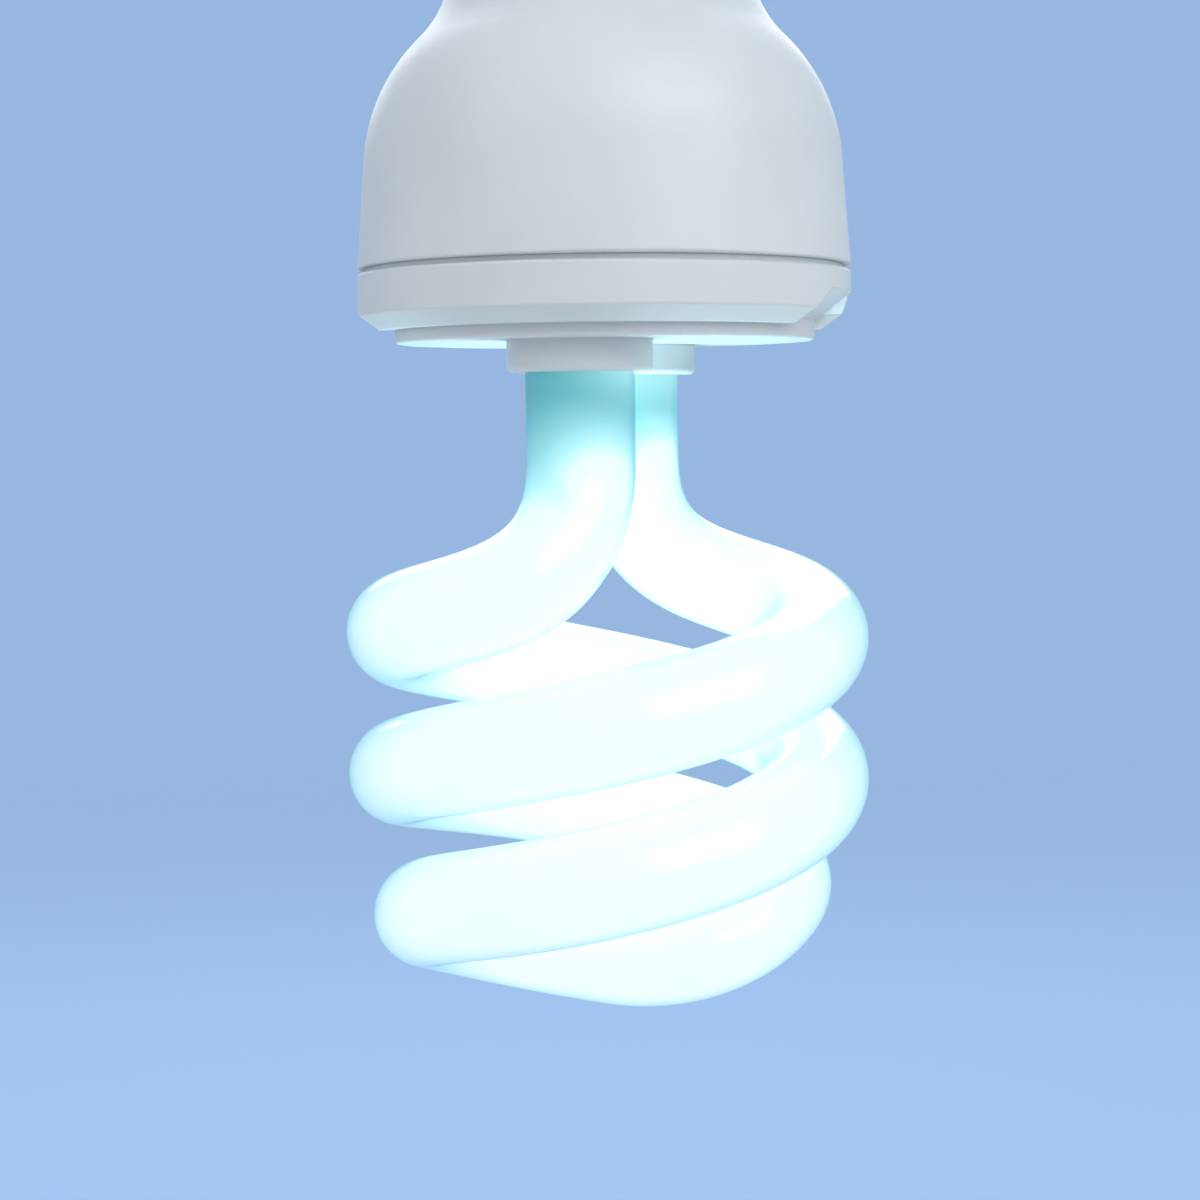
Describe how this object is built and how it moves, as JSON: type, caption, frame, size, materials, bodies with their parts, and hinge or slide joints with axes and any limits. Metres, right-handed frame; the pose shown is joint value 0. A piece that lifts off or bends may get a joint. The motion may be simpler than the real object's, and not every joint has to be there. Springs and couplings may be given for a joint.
{
  "type": "compact spiral uvb lamp",
  "caption": "Reptile UVB lamp: double-spiral glass tube on a white bell housing with a 27 mm screw cap, modelled hanging cap up and lit.",
  "frame": {"origin": "on the lamp's axis, in the plane of the cap's rim, where the screw shell meets the housing's neck", "axes": "+Z along the lamp's axis, up to the cap's contact; the tube's two legs stand on the Y axis"},
  "size_m": [0.0494, 0.0494, 0.1259],
  "materials": {
    "cap_metal": "drawn sheet, satin",
    "black_glass": "fused black insulating glass",
    "tin_contact": "tinned, with a smoothed solder face",
    "housing_plastic": "white moulded polyester, satin",
    "cover_plastic": "white moulded polyester, satin",
    "lit_glass": "phosphor-coated glass, lit white",
    "cement": "matt white cement",
    "board_laminate": "paper laminate",
    "can_sleeve": "shrunk sleeve",
    "ferrite": "sintered ferrite",
    "bobbin_plastic": "moulded",
    "copper_wire": "enamelled copper wire",
    "hookup_wire": "insulated wire",
    "moulded_black": "moulded epoxy",
    "resistor_coat": "lacquered",
    "diode_glass": "lacquered glass",
    "film_coat": "dipped epoxy",
    "sleeve_fibre": "woven glass sleeve",
    "tinned_wire": "tinned"
  },
  "bodies": {
    "root": {"screw_shell": "cap_metal", "cap_insulator": "black_glass", "centre_contact": "tin_contact", "upper_housing": "housing_plastic", "lower_cover": "cover_plastic", "discharge_tube": "lit_glass", "tube_cement": "cement", "circuit_board": "board_laminate", "electrolytic_capacitor": "can_sleeve", "choke_core": "ferrite", "choke_bobbin": "bobbin_plastic", "choke_winding": "copper_wire", "ring_core": "ferrite", "ring_windings": "hookup_wire", "transistor_1": "moulded_black", "transistor_2": "moulded_black", "rectifier_diodes": "moulded_black", "resistors": "resistor_coat", "trigger_diode": "diode_glass", "resonance_capacitor": "film_coat", "blocking_capacitor": "film_coat", "base_capacitor": "film_coat", "fusible_resistor": "resistor_coat", "fuse_sleeve": "sleeve_fibre", "shell_lead": "tinned_wire", "wrap_pins": "tinned_wire", "filament_wires": "tinned_wire"}
  },
  "joints": []
}
